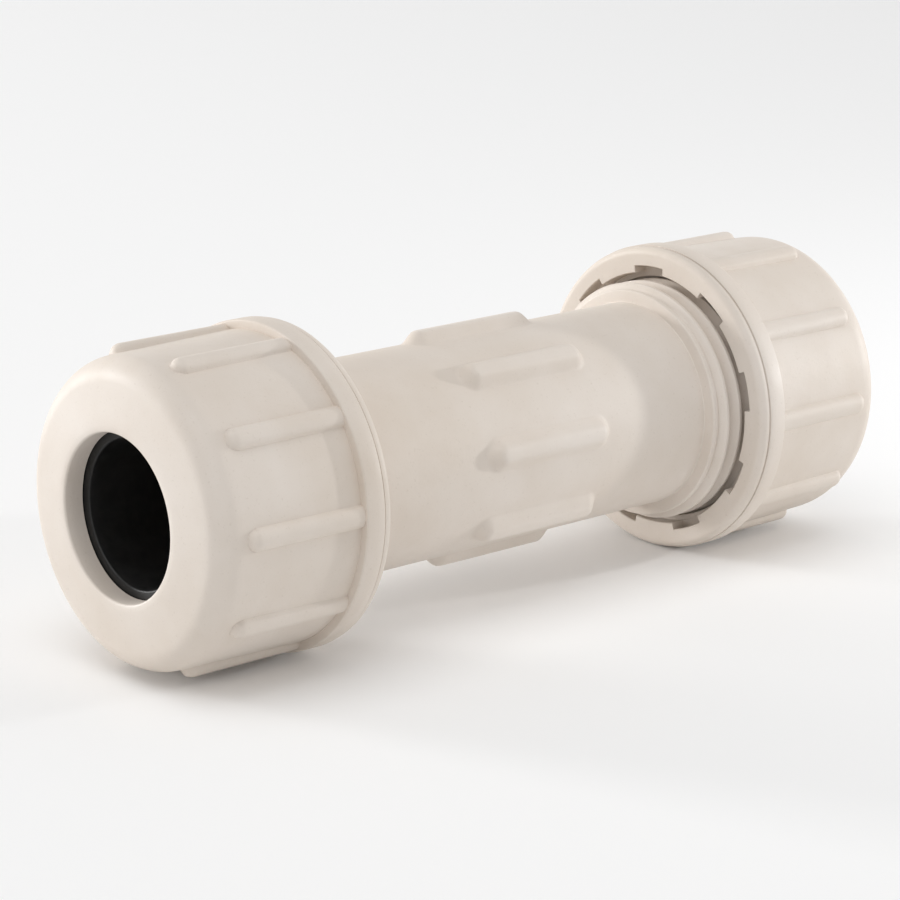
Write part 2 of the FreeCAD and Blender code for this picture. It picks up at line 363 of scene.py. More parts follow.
def columns_around(angles, widest=COLUMN_SPACING):
    """Angles in one turn, in degrees, with more put in where two stand further apart than widest."""
    ordered = sorted({round(angle % 360, 2) for angle in angles})
    filled = []
    for angle, following in zip(ordered, ordered[1:] + [ordered[0] + 360]):
        parts = math.ceil((following - angle) / widest)
        filled += [angle + (following - angle) * part / parts for part in range(parts)]
    return table_object("columns", [(math.radians(angle), 0, 0) for angle in filled])


def arc(along, radius, size, start, end, steps):
    """Profile points of a round about a centre, from one angle to another in degrees."""
    swept = [math.radians(start + (end - start) * step / steps) for step in range(steps + 1)]
    return [(along + size * math.cos(angle), radius + size * math.sin(angle)) for angle in swept]


# %% [markdown]
# ## The thread's rule
#
# Both ends carry the same right-hand thread, and the nut's ridge stands in the middle of the
# tube's groove, so one rule serves all of them: how far is this point, along the axis, from the
# middle of the nearest turn of the ridge, and how many turns is it from where the ridge begins?

# %% Distance to the nearest turn of a helix
def along_helix(along, angle, start, start_angle, pitch):
    """Distance from the nearest turn's middle, and the angle run since the ridge began."""
    before = (angle - start_angle) / FULL_TURN
    turns = (along - start) / pitch - before
    turn = turns.by("ROUND")
    return abs(turns - turn) * pitch, (turn + before) * FULL_TURN


# a row that reaches the thread's low end only at the end of its turn starts a pitch below it
ROWS_BELOW = 1.1 * PITCH
ROWS_ABOVE = 0.1 * PITCH


def thread_rows(middle, low, high, offsets):
    """Places of the climbing rows at angle 0, crowded at the ridge's corners."""
    first = math.floor((low - middle) / PITCH) - 2
    last = math.ceil((high - middle) / PITCH) + 2
    places = [middle + turn * PITCH + offset for turn in range(first, last) for offset in offsets]
    return sorted(place for place in places if low - ROWS_BELOW <= place <= high + ROWS_ABOVE)


ROW_OFFSETS = (-1.13, -0.98, -0.36, -0.2, 0.0, 0.2, 0.36, 0.98, 1.13, 1.25)
start_at_zero = RIDGE_START - PITCH * RIDGE_START_ANGLE / 360
print("a ridge passes angle 0 at", round(start_at_zero, 3), "mm and each pitch after it")

# %% [markdown]
# ## The tube
#
# The body is one moulding: a plain barrel with eight low grip ribs, a collar near each end, and
# beyond it the thread, which rises out of the collar's rim within a part turn and is cut off
# by a chamfer at the end. Inside are the tapered seats for the gaskets, the bore and,
# in the middle, the low ring that stops the pipes.

# %% Sizes of the tube
BARREL_RISE = 1.05
BORE = 10.95
SEAT_RIM = 1.25
SEAT_DEPTH = 11.5
STOP_RADIUS = 9.75
BODY_RIB_COUNT = 8
BODY_RIB_ANGLE = -8.3
BODY_RIB_HEIGHT = 1.65
BODY_RIB_HALF_TOP = 0.9
BODY_RIB_SIDE_RUN = 1.55
BODY_RIB_END_CENTRE = 8.65

barrel_radius = root_radius - BARREL_RISE
seat_radius = root_radius - SEAT_RIM
print("barrel radius", round(barrel_radius, 2), "and seat radius", round(seat_radius, 2))


# %% The tube's profile
COLLAR_ROUND = 0.25
COLLAR_FILLET = 0.12
RIM_STEP = 0.13
RIM_FALL_SHARES = (0.04, 0.35, 0.7, 1.0)
ROWS_ALONG_RIB = (0, 3, 6, 8, BODY_RIB_END_CENTRE, 8.9)
RIB_END_FIRST_ROW = 9.15
RIB_END_ROW_STEP = 0.2
RIB_END_ROW_COUNT = 12
ROWS_PAST_RIB = (11.6, 12, 14, 18, 23, 28)

rib_end_rows = [RIB_END_FIRST_ROW + RIB_END_ROW_STEP * step for step in range(RIB_END_ROW_COUNT)]
barrel_places = [*ROWS_ALONG_RIB, *rib_end_rows, *ROWS_PAST_RIB]
barrel_rows = [(place, barrel_radius) for place in barrel_places]
face_top = (COLLAR_BACK + COLLAR_RUN + COLLAR_ROUND, collar_radius - COLLAR_ROUND)
collar_rows = [(COLLAR_BACK - COLLAR_FILLET, barrel_radius)]
collar_rows += [(COLLAR_BACK, barrel_radius + COLLAR_FILLET)]
collar_rows += [(COLLAR_BACK + COLLAR_RUN / 2, (barrel_radius + collar_radius) / 2)]
collar_rows += arc(*face_top, COLLAR_ROUND, 180, 90, 5)
collar_rows += [(collar_front - RIM_STEP * step, collar_radius) for step in (3, 2, 1)]
for share in RIM_FALL_SHARES:
    along = collar_front + (thread_from - collar_front) * share
    collar_rows.append((along, collar_radius + (root_radius - collar_radius) * share))
print("the outside has", len(barrel_rows) + len(collar_rows), "rows from the middle to a thread")

# %% The inside of the tube
END_FACE_INSET = 0.3
SEAT_EDGE = ((0.0, 0.12), (0.04, 0.04), (0.15, -0.04))
SEAT_SHARES = (0.35, 0.7)
SEAT_FOOT_RUN = 0.4
SEAT_FOOT_RISE = 0.1
BORE_ROWS = (32.0, 20.0, 8.0)
STOP_SIDE = ((2.1, BORE), (1.9, BORE - 0.04), (1.55, STOP_RADIUS + 0.12), (1.4, STOP_RADIUS))

inner_rows = [(body_end, root_radius - END_FACE_INSET)]
inner_rows += [(body_end - depth, seat_radius + rise) for depth, rise in SEAT_EDGE]
inner_rows += [
    (body_end - SEAT_DEPTH * share, seat_radius - (seat_radius - BORE) * share) for share in SEAT_SHARES
]
inner_rows += [(body_end - SEAT_DEPTH + SEAT_FOOT_RUN, BORE + SEAT_FOOT_RISE)]
inner_rows += [(body_end - SEAT_DEPTH - SEAT_FOOT_RUN, BORE)]
inner_rows += [(place, BORE) for place in BORE_ROWS]
inner_rows += STOP_SIDE
print("the inside has", len(inner_rows), "rows from each end to the stop")


def mirrored(rows):
    """The same rows for the other end, in the opposite order."""
    return [(-along, radius) for along, radius in reversed(rows)]


# %% All rows of the tube
left_start = -(start_at_zero + PITCH / 2)
left_places = thread_rows(left_start, -body_end, -thread_from, ROW_OFFSETS)
right_places = thread_rows(start_at_zero, thread_from, body_end, ROW_OFFSETS)
outer_left = [(along, root_radius, -body_end, -thread_from) for along in left_places]
outer_right = [(along, root_radius, thread_from, body_end) for along in right_places]
middle = mirrored(collar_rows) + mirrored(barrel_rows)[:-1] + barrel_rows + collar_rows
inside = inner_rows + mirrored(inner_rows)
tube_rows = outer_left + [(*row, row[0], row[0]) for row in middle]
tube_rows += outer_right + [(*row, row[0], row[0]) for row in inside]
print("the tube's profile has", len(tube_rows), "points")


# %% The tube's tree
def held_place(wrapped, along, pitch):
    """Lets a row climb with the thread between its limits. A plain row's limits are its own place."""
    climbed = along + wrapped.angle / FULL_TURN * pitch
    return between(climbed, wrapped.mark("from"), wrapped.mark("to"))


tube_sizes = {
    "Pitch": PITCH, "Thread Depth": THREAD_DEPTH, "Crest Half": CREST_HALF,
    "Ridge Start": RIDGE_START, "Root Radius": root_radius, "Body End": body_end,
    "End Chamfer": END_CHAMFER, "Rib Height": BODY_RIB_HEIGHT,
    "Rib Half Top": BODY_RIB_HALF_TOP, "Rib Side Run": BODY_RIB_SIDE_RUN,
    "Rib End Centre": BODY_RIB_END_CENTRE, "Barrel Radius": barrel_radius,
}
tube_sizes = {label: size * MM for label, size in tube_sizes.items()}
tube_sizes |= {"Flank Run": FLANK_RUN, "Rib Count": BODY_RIB_COUNT}
tube_sizes["Rib Angle"] = math.radians(BODY_RIB_ANGLE)
tube_sizes["Ridge Start Angle"] = math.radians(RIDGE_START_ANGLE)

CREST_ROUND = 0.3 * MM
CHAMFER_ROUND = 0.1 * MM
THREAD_FOOT_ROUND = 0.12 * MM
RISE_ENDS = math.radians(60)
RIB_TOP_ROUND = 0.5
RIB_FOOT_ROUND = 0.25


def tube_tree(sizes):
    """The threaded, ribbed tube."""
    tree, given = start_tree("Threaded tube", sizes)
    wrapped = WrappedGrid(tree, given)
    along, radius = wrapped.profile_point()
    along = held_place(wrapped, along, given["Pitch"])
    outside = wrapped.mark("outside")

    # the right end's rule read at both ends: turning the tube end for end swaps x and angle
    right = along.by("GREATER_THAN", 0.0)
    angle = right * (wrapped.angle * 2.0 - math.pi) + (wrapped.angle * -1.0 + math.pi)
    distance, run = along_helix(
        abs(along), angle, given["Ridge Start"], given["Ridge Start Angle"], given["Pitch"]
    )
    base_half = given["Crest Half"] + given["Thread Depth"] * given["Flank Run"]
    height = (base_half - distance) / given["Flank Run"]
    height = height.by("SMOOTH_MIN", given["Thread Depth"], CREST_ROUND)
    run = between(run, 0.0, RISE_ENDS)
    rising = (run.by("COSINE").by("POWER", -1.0) - 1.0) * given["Root Radius"]
    chamfered = given["Body End"] - abs(along) + given["Thread Depth"] - given["End Chamfer"]
    height = height.by("SMOOTH_MIN", chamfered, CHAMFER_ROUND).by("MINIMUM", rising)
    crest = radius.by("SMOOTH_MAX", given["Root Radius"] + height, THREAD_FOOT_ROUND)
    height = (crest - radius) * wrapped.mark("threaded")

    across = nearest(wrapped.angle, given["Rib Count"], given["Rib Angle"])
    across = across * (given["Barrel Radius"] + given["Rib Height"] * 0.5)
    past_end = (abs(along) - given["Rib End Centre"]).by("MAXIMUM", 0.0)
    off_rib = (across * across + past_end * past_end).by("SQRT")
    share = (given["Rib Half Top"] + given["Rib Side Run"] - off_rib) / given["Rib Side Run"]
    share = share.by("SMOOTH_MIN", 1.0, RIB_TOP_ROUND).by("SMOOTH_MAX", 0.0, RIB_FOOT_ROUND)
    rib = share * given["Rib Height"] * outside

    proud = height / given["Thread Depth"] + share * outside
    return finish_tree(wrapped, given, along, radius + height + rib, proud)


tube_skin = tube_tree(tube_sizes)
print("the tube's tree has", len(tube_skin.nodes), "nodes")

# %% [markdown]
# ## The nut
#
# The nut is moulded too. Its outside has ten grip ribs with round tops, which run forward from
# a flange and end in a round tip. Its face slopes back a little from the hole to a large
# round corner, and notches are spaced round its mouth. Inside are a relief at the mouth, the
# thread, a chamber for the gasket's flange and the lip that presses on it. Each row of the
# profile knows two places, one for plain wall and one inside a notch, and a notch is where the
# second is used. One tree makes both nuts: each has its own turn on the thread, and the left
# one is turned end for end.

# %% Sizes of the nut
NUT_LENGTH = 27.15
NUT_BORE = 11.0
NUT_BORE_ROUND = 0.3
LIP = 2.85
CHAMBER_LENGTH = 4.4
CHAMBER_RADIUS = 15.9
CREST_CLEARANCE = 0.3
ROOT_CLEARANCE = 0.5
RIDGE_LEAD = 0.3
NUT_WALL = 3.35
WALL_DRAFT = 0.5
CORNER_ROUND = 3.5
FACE_TILT = 7.0
FACE_EDGE = 12.0
FACE_ROW_RADII = (15.5, 13.2)
FLANGE_WIDTH = 4.4
FLANGE_ROUND = 1.0
FLANGE_FRONT_ROUND = 0.25
FLANGE_RIM_WIDTH = 1.3
FLANGE_RIM_DROP = 0.14
FLANGE_GROOVE = 0.2
FLANGE_GROOVE_DEPTH = 0.16
FLANGE_GROOVE_SIDE = 0.04
FLANGE_GROOVE_LIP = (0.06, 0.03)
FLANGE_TOP_ROW = 2.6
MOUTH_ROW_RADII = (20.0, 20.6)
MOUTH_RELIEF = 0.75
MOUTH_DEPTH = 2.4
NOTCH_HEIGHT = 1.0
NOTCH_DEPTH = 2.2
NOTCH_COUNT = 9
NOTCH_HALF = 8.5
NOTCH_ANGLE = -14.2
MOUTH_BEVEL = 0.12
NUT_RIB_COUNT = 10
NUT_RIB_RISE = 0.87
NUT_RIB_HALF = 1.45
NUT_RIB_SETBACK = 4.9
NUT_RIB_END_RUN = 0.25
NUT_RIB_SLOPE = 1.522

major_radius = crest_radius + CREST_CLEARANCE
minor_radius = root_radius + ROOT_CLEARANCE
mouth_radius = major_radius + MOUTH_RELIEF
wall_back = major_radius + NUT_WALL
wall_front = wall_back - WALL_DRAFT
groove_tip_half = PITCH / 2 - CREST_HALF - (crest_radius - minor_radius) * FLANK_RUN
ridge_tip_half = groove_tip_half - RIDGE_CLEARANCE
print("nut wall", round(wall_front, 2), "to", round(wall_back, 2))
print("half of the ridge's tip", round(ridge_tip_half, 3))


# %% The nut's outside
ROWS_ALONG_WALL = (0.0, 0.15, 0.5, 2.0, 5.0, 8.5, 12.0, 14.0)
RIB_TIP_RUN = 2.0
RIB_TIP_STEP = 0.12
RIB_TIP_ROWS = 21


def nut_flange(mouth, flange_front):
    """Rows over the flange: its back, its low rim, the thin groove and its front edge."""
    rim_radius = flange_radius - FLANGE_RIM_DROP
    rim_end = mouth + FLANGE_RIM_WIDTH
    groove_end = rim_end + FLANGE_GROOVE
    groove_radius = rim_radius - FLANGE_GROOVE_DEPTH
    lip_run, lip_drop = FLANGE_GROOVE_LIP
    rows = [(mouth, radius) for radius in MOUTH_ROW_RADII]
    rows += arc(mouth + FLANGE_ROUND, rim_radius - FLANGE_ROUND, FLANGE_ROUND, 180, 90, 6)
    rows += [(rim_end, rim_radius), (rim_end + FLANGE_GROOVE_SIDE, groove_radius)]
    rows += [(groove_end - FLANGE_GROOVE_SIDE, groove_radius), (groove_end, flange_radius - lip_drop)]
    rows += [(groove_end + lip_run, flange_radius), (mouth + FLANGE_TOP_ROW, flange_radius)]
    front_middle = (flange_front - FLANGE_FRONT_ROUND, flange_radius - FLANGE_FRONT_ROUND)
    return rows + arc(*front_middle, FLANGE_FRONT_ROUND, 90, 0, 3)


def nut_outside(end):
    """Rows from the mouth to the bore's edge, and the numbers of those that carry the ribs."""
    mouth = end - NUT_LENGTH
    flange_front = mouth + FLANGE_WIDTH
    draft = WALL_DRAFT / (end - flange_front)

    def wall(along):
        return wall_front + (end - along) * draft

    corner_middle = wall(end - CORNER_ROUND) - CORNER_ROUND * math.hypot(1, draft)
    tilt = math.degrees(math.atan(draft))
    face_tilt = math.radians(FACE_TILT)

    def face(radius):
        return end - (radius - FACE_EDGE) * math.tan(face_tilt)

    face_meets = corner_middle + CORNER_ROUND * math.sin(face_tilt)
    corner_centre = (face(face_meets) - CORNER_ROUND * math.cos(face_tilt), corner_middle)
    rib_end = end - NUT_RIB_SETBACK
    fine = [rib_end - RIB_TIP_RUN + step * RIB_TIP_STEP for step in range(RIB_TIP_ROWS)]
    before_corner = (fine[-1] + corner_centre[0]) / 2
    coarse = [flange_front + step for step in ROWS_ALONG_WALL]

    rows = nut_flange(mouth, flange_front)
    plain_to_here = len(rows)
    rows += [(along, wall(along)) for along in coarse + fine + [before_corner]]
    ribbed = range(plain_to_here, len(rows))
    rows += arc(*corner_centre, CORNER_ROUND, 90 - tilt, FACE_TILT, 12)
    rows += [(face(radius), radius) for radius in FACE_ROW_RADII] + [(end, FACE_EDGE)]
    rows += arc(end - NUT_BORE_ROUND, NUT_BORE + NUT_BORE_ROUND, NUT_BORE_ROUND, 0, -90, 3)
    return rows, ribbed


# %% The nut's inside and whole profile
NUT_ROW_OFFSETS = (-1.12, -0.93, -0.26, -0.1, 0.1, 0.26, 0.93, 1.12)
NOTCH_WALL_RUN = 0.05


def nut_profile(end):
    """The nut's rows from the mouth forward and back inside, for a nut whose face is at end."""
    mouth = end - NUT_LENGTH
    thread_low = mouth + MOUTH_DEPTH
    thread_high = end - LIP - CHAMBER_LENGTH
    pocket_floor = mouth + NOTCH_DEPTH
    pocket_radius = mouth_radius + NOTCH_HEIGHT
    climbing = thread_rows(start_at_zero + PITCH / 2, thread_low, thread_high, NUT_ROW_OFFSETS)

    rows, ribbed = nut_outside(end)
    rows += [(end - LIP / 2, NUT_BORE), (end - LIP, NUT_BORE), (end - LIP, CHAMBER_RADIUS)]
    rows += [(thread_high, CHAMBER_RADIUS)]
    marks = [(0.0, float(number in ribbed)) for number in range(len(rows))]
    table = [(*row, *row, row[0], row[0], *mark) for row, mark in zip(rows, marks)]
    table += [
        (along, major_radius, along, major_radius, thread_low, thread_high, 1.0, 0.0)
        for along in reversed(climbing)
    ]
    inner = [
        ((thread_low, mouth_radius), (thread_low, mouth_radius)),
        ((pocket_floor, mouth_radius), (pocket_floor, mouth_radius)),
        ((pocket_floor - NOTCH_WALL_RUN, mouth_radius), (pocket_floor, pocket_radius)),
        ((mouth + MOUTH_BEVEL, mouth_radius), (mouth + MOUTH_BEVEL, pocket_radius)),
        ((mouth, mouth_radius + MOUTH_BEVEL), (mouth, pocket_radius + MOUTH_BEVEL)),
    ]
    table += [(*plain, *pocket, plain[0], plain[0], 0.0, 0.0) for plain, pocket in inner]
    names = ("pocket along", "pocket radius", "from", "to", "threaded", "ribbed")
    lengths = ("pocket along", "pocket radius", "from", "to")
    found = {name: [row[2 + number] for row in table] for number, name in enumerate(names)}
    found |= {name: [value * MM for value in found[name]] for name in lengths}
    return table_object("nut profile", [(row[0] * MM, 0, row[1] * MM) for row in table], found)


# %% The nut's columns
NUT_RIB_COLUMNS = (0.0, 0.55, 0.9, 1.05, 1.15, 1.25, 1.35, 1.45, 1.55, 1.65, 2.0)
NOTCH_EDGE_COLUMNS = (-0.9, -0.3, -0.1, 0.1, 0.3, 0.9)


def nut_columns(turn):
    """Angles crowded at the sides of the ribs and at the edges of the notches."""
    rib_places = [math.degrees(side / wall_back) for side in NUT_RIB_COLUMNS]
    rib_first, notch_first = turn, turn + NOTCH_ANGLE
    angles = []
    for number in range(NUT_RIB_COUNT):
        middle = rib_first + number * 360 / NUT_RIB_COUNT
        angles += [middle + sign * place for place in rib_places for sign in (-1, 1)]
    for number in range(NOTCH_COUNT):
        middle = notch_first + number * 360 / NOTCH_COUNT
        edges = [NOTCH_HALF + offset for offset in NOTCH_EDGE_COLUMNS]
        angles += [middle + sign * edge for edge in edges for sign in (-1, 1)]
    return columns_around(angles)


# %% The nut's tree
NOTCH_EDGE = 0.002
RIDGE_TIP_ROUND = 0.2 * MM
RIDGE_FOOT_ROUND = 0.1 * MM
NUT_RIB_TOP_ROUND = 0.5 * MM
NUT_RIB_FOOT_ROUND = 0.15 * MM


def nut_tree(sizes):
    """A ribbed, notched nut with its thread."""
    tree, given = start_tree("Ribbed nut", sizes)
    wrapped = WrappedGrid(tree, given)
    along, radius = wrapped.profile_point()
    along = held_place(wrapped, along, given["Pitch"])
    own_angle = wrapped.angle - given["Turn"]

    off_notch = abs(nearest(own_angle, given["Notch Count"], given["Notch Angle"]))
    notched = soft_step(off_notch, given["Notch Half"] + NOTCH_EDGE, given["Notch Half"] - NOTCH_EDGE)
    plain = notched * -1.0 + 1.0
    has_pocket = wrapped.mark("threaded") * -1.0 + 1.0
    pocket_along = wrapped.mark("pocket along") * has_pocket + along * wrapped.mark("threaded")
    along = along * plain + pocket_along * notched
    radius = radius * plain + wrapped.mark("pocket radius") * notched

    distance, _ = along_helix(
        along, wrapped.angle, given["Ridge Start"], given["Ridge Start Angle"], given["Pitch"]
    )
    depth = given["Major Radius"] - given["Minor Radius"]
    base_half = given["Ridge Tip Half"] + depth * given["Flank Run"]
    height = (base_half - distance) / given["Flank Run"]
    height = height.by("SMOOTH_MIN", depth, RIDGE_TIP_ROUND)
    height = height.by("MINIMUM", along - given["Lead In"])
    height = height.by("SMOOTH_MAX", 0.0, RIDGE_FOOT_ROUND) * wrapped.mark("threaded")

    across = nearest(own_angle, given["Rib Count"], 0.0) * radius
    past_round = (along - given["Rib End"] + given["Rib Half"]).by("MAXIMUM", 0.0)
    off_rib = (across * across + past_round * past_round).by("SQRT")
    off_rib = off_rib / given["Rib Half"]
    share = (off_rib * off_rib * -1.0 + 1.0).by("MAXIMUM", 0.0).by("SQRT")
    sloping = (given["Rib End"] - given["Rib End Run"] - along) * given["Rib Slope"]
    top = sloping.by("SMOOTH_MIN", 0.0, NUT_RIB_TOP_ROUND) + given["Rib Top"]
    rise = (top - radius).by("SMOOTH_MAX", 0.0, NUT_RIB_FOOT_ROUND) * share * wrapped.mark("ribbed")

    proud = height / depth + rise / (given["Rib Top"] - given["Major Radius"])
    half_turn = given["Left End"]
    return finish_tree(wrapped, given, along, radius - height + rise, proud, half_turn)


nut_sizes = {
    "Pitch": PITCH, "Ridge Start": RIDGE_START + PITCH / 2, "Major Radius": major_radius,
    "Minor Radius": minor_radius, "Ridge Tip Half": ridge_tip_half, "Lead In": 0.0,
    "Rib Half": NUT_RIB_HALF, "Rib Top": wall_back + NUT_RIB_RISE, "Rib End": 0.0,
    "Rib End Run": NUT_RIB_END_RUN,
}
nut_sizes = {label: size * MM for label, size in nut_sizes.items()}
nut_sizes |= {"Flank Run": FLANK_RUN, "Rib Slope": NUT_RIB_SLOPE, "Rib Count": NUT_RIB_COUNT}
nut_sizes |= {"Notch Count": NOTCH_COUNT, "Notch Angle": math.radians(NOTCH_ANGLE)}
nut_sizes |= {"Notch Half": math.radians(NOTCH_HALF), "Turn": 0.0, "Left End": 0.0}
nut_sizes["Ridge Start Angle"] = math.radians(RIDGE_START_ANGLE)
nut_skin = nut_tree(nut_sizes)
print("the nut's tree has", len(nut_skin.nodes), "nodes")

# %% [markdown]
# ## The gasket
#
# The gasket is a moulded rubber ring with a flange that the nut's lip presses on and a tapered
# nose that is pushed into the end of the tube. Only its flange shows, through the nut's bore.

# %% The gasket's profile and tree
GASKET_BORE = 9.8
GASKET_BACK = 0.15
NOSE_LENGTH = 10.2
GASKET_ROUND = 0.5
GASKET_BORE_ROUND = 0.25
NOSE_TIP_ROUND = 0.3
NOSE_TIP_RISE = 0.05
NOSE_ROW = 5
FLANGE_BACK_ROUND = 0.2
FLANGE_ROW = 2
GASKET_FACE_RADII = (13.5, 12.0, 10.8)
GASKET_BORE_ROWS = (1.5, 4.0, 8.0, 12.0)

gasket_radius = gasket_high[2]
gasket_front = gasket_high[0]
gasket_back = body_end + GASKET_BACK
nose_tip = gasket_low[0]
seat_slope = (seat_radius - BORE) / SEAT_DEPTH
nose_back_radius = seat_radius + GASKET_BACK * (seat_slope - math.hypot(1, seat_slope))
nose_tip_radius = nose_back_radius - NOSE_LENGTH * seat_slope


def gasket_profile():
    """The gasket's rows from the tip of the nose outside and back through the hole."""
    rows = [(nose_tip, GASKET_BORE), (nose_tip, nose_tip_radius - NOSE_TIP_ROUND)]
    rows += [(nose_tip + NOSE_TIP_ROUND, nose_tip_radius + NOSE_TIP_RISE)]
    rows += [(gasket_back - NOSE_ROW, nose_back_radius - NOSE_ROW * seat_slope)]
    rows += [(gasket_back, nose_back_radius), (gasket_back, gasket_radius - FLANGE_BACK_ROUND)]
    rows += [(gasket_back + FLANGE_BACK_ROUND, gasket_radius), (gasket_back + FLANGE_ROW, gasket_radius)]
    rows += arc(gasket_front - GASKET_ROUND, gasket_radius - GASKET_ROUND, GASKET_ROUND, 90, 0, 5)
    rows += [(gasket_front, radius) for radius in GASKET_FACE_RADII]
    bore_round = GASKET_BORE_ROUND
    rows += arc(gasket_front - bore_round, GASKET_BORE + bore_round, bore_round, 0, -90, 4)
    rows += [(gasket_front - step, GASKET_BORE) for step in GASKET_BORE_ROWS]
    return table_object("gasket profile", [(along * MM, 0, radius * MM) for along, radius in rows])


def gasket_tree():
    """A plain turned ring."""
    tree, given = start_tree("Gasket ring", {"Left End": 0.0})
    wrapped = WrappedGrid(tree, given)
    along, radius = wrapped.profile_point()
    return finish_tree(wrapped, given, along, radius, 0.0, given["Left End"])


gasket_skin = gasket_tree()
print("the gasket's nose ends at radius", round(nose_tip_radius, 2))

# %% [markdown]
# ## Finishes
#
# The tube and the nuts are one cream plastic. A moulded part isn't one flat colour: the
# granules mix unevenly, darker specks are strewn through it, and the mould's spark-finish
# leaves a fine grain. The raised rib tops and thread crests are also painted lighter, a painted
# highlight where light catches them. The colours below are sRGB values as a paint chart would give them.

# %% Shader helpers
def shade(red, green, blue):
    """Linear colour of an sRGB value from 0 to 255."""
    def linear(channel):
        share = channel / 255
        return share / 12.92 if share <= 0.04045 else ((share + 0.055) / 1.055) ** 2.4
    return (linear(red), linear(green), linear(blue), 1.0)


class Finish:
    """A procedural material in object coordinates."""

    def __init__(self, name, **shader_values):
        self.material = bpy.data.materials.new(name)
        self.material.use_nodes = True
        self.tree = self.material.node_tree
        self.shader = self.tree.nodes["Principled BSDF"]
        for label, value in shader_values.items():
            self.shader.inputs[label.replace("_", " ")].default_value = value
        self.place = self.tree.nodes.new("ShaderNodeTexCoord").outputs["Object"]

    def noise(self, scale, detail=3.0, roughness=0.55):
        """Soft blotches, so many to the metre."""
        made = self.tree.nodes.new("ShaderNodeTexNoise")
        self.tree.links.new(self.place, made.inputs["Vector"])
        for label, value in (("Scale", scale), ("Detail", detail), ("Roughness", roughness)):
            made.inputs[label].default_value = value
        return made.outputs["Fac"]

    def spread(self, value, low, high, to_low=0.0, to_high=1.0):
        """Stretches the values between low and high to the span asked for."""
        made = self.tree.nodes.new("ShaderNodeMapRange")
        self.tree.links.new(value, made.inputs["Value"])
        limits = {"From Min": low, "From Max": high, "To Min": to_low, "To Max": to_high}
        for label, number in limits.items():
            made.inputs[label].default_value = number
        return made.outputs["Result"]

    def mixed(self, share, first, second):
        """One colour where share is 0 and the other where it is 1."""
        made = self.tree.nodes.new("ShaderNodeMix")
        made.data_type = "RGBA"
        self.tree.links.new(share, made.inputs["Factor"])
        sockets = [socket for socket in made.inputs if socket.type == "RGBA"]
        for socket, colour in zip(sockets, (first, second)):
            if isinstance(colour, tuple):
                socket.default_value = colour
            else:
                self.tree.links.new(colour, socket)
        return next(socket for socket in made.outputs if socket.type == "RGBA")

    def own(self, name):
        """A number kept on the mesh."""
        made = self.tree.nodes.new("ShaderNodeAttribute")
        made.attribute_name = name
        return made.outputs["Fac"]

    def set(self, label, value):
        """Links a worked value to the shader."""
        self.tree.links.new(value, self.shader.inputs[label])

    def grain(self, layers):
        """Bumps stacked on each other, each a pattern and its height in metres."""
        normal = None
        for pattern, height in layers:
            made = self.tree.nodes.new("ShaderNodeBump")
            made.inputs["Distance"].default_value = height
            self.tree.links.new(pattern, made.inputs["Height"])
            if normal is not None:
                self.tree.links.new(normal, made.inputs["Normal"])
            normal = made.outputs["Normal"]
        self.tree.links.new(normal, self.shader.inputs["Normal"])


# %% Cream moulded plastic
CREAM_PALE = shade(226, 217, 208)
CREAM_WARM = shade(214, 202, 189)
CREAM_HOLLOW = shade(194, 181, 166)
# the lighter cream of the painted highlight on raised rib tops and thread crests
CREAM_PAINTED_HIGHLIGHT = shade(231, 223, 215)
CLOUDS_PER_METRE = 38
SPECKLES_PER_METRE = 2600
POLISH_PER_METRE = 160
MOULD_GRAIN = (3400, 0.000012)
MOULD_WAVE = (420, 0.00003)


def cream_plastic():
    """Moulded plastic with uneven mixing, darker specks, a painted highlight on raised tops and a fine
    grain.
    """
    finish = Finish("cream plastic", Specular_IOR_Level=0.45)
    clouds = finish.spread(finish.noise(CLOUDS_PER_METRE, detail=4.0, roughness=0.6), 0.3, 0.7)
    base = finish.mixed(clouds, CREAM_WARM, CREAM_PALE)
    speckle = finish.noise(SPECKLES_PER_METRE, detail=2.0)
    speckle = finish.spread(speckle, 0.62, 0.8, to_high=0.35)
    base = finish.mixed(speckle, base, CREAM_HOLLOW)
    # painted highlight: where the mesh stands proud, on rib tops and thread crests, the cream is painted
    # lighter
    painted_highlight = finish.spread(finish.own("proud"), 0.75, 1.15, to_high=0.5)
    base = finish.mixed(painted_highlight, base, CREAM_PAINTED_HIGHLIGHT)
    finish.set("Base Color", base)
    polish = finish.noise(POLISH_PER_METRE, detail=4.0)
    finish.set("Roughness", finish.spread(polish, 0.3, 0.7, to_low=0.46, to_high=0.6))
    grain_scale, grain_height = MOULD_GRAIN
    wave_scale, wave_height = MOULD_WAVE
    grain = finish.noise(grain_scale, detail=3.0, roughness=0.6)
    wave = finish.noise(wave_scale, detail=2.0)
    finish.grain([(grain, grain_height), (wave, wave_height)])
    return finish.material


# %% Black rubber
RUBBER = shade(15, 15, 15)
RUBBER_DUST = shade(36, 35, 34)
DUST_PER_METRE = 520
SHEEN_PER_METRE = 240
RUBBER_GRAIN = (5200, 0.00001)
RUBBER_WAVE = (700, 0.00002)


def black_rubber():
    """Moulded rubber, nearly black, with a faint bloom of dust."""
    finish = Finish("black rubber", Specular_IOR_Level=0.4)
    dust = finish.noise(DUST_PER_METRE, detail=5.0, roughness=0.65)
    dust = finish.spread(dust, 0.45, 0.75, to_high=0.6)
    finish.set("Base Color", finish.mixed(dust, RUBBER, RUBBER_DUST))
    sheen = finish.noise(SHEEN_PER_METRE, detail=4.0)
    finish.set("Roughness", finish.spread(sheen, 0.3, 0.7, to_low=0.42, to_high=0.6))
    grain_scale, grain_height = RUBBER_GRAIN
    wave_scale, wave_height = RUBBER_WAVE
    grain = finish.noise(grain_scale)
    wave = finish.noise(wave_scale)
    finish.grain([(grain, grain_height), (wave, wave_height)])
    return finish.material


plastic = cream_plastic()
rubber = black_rubber()
print("materials:", plastic.name, "and", rubber.name)

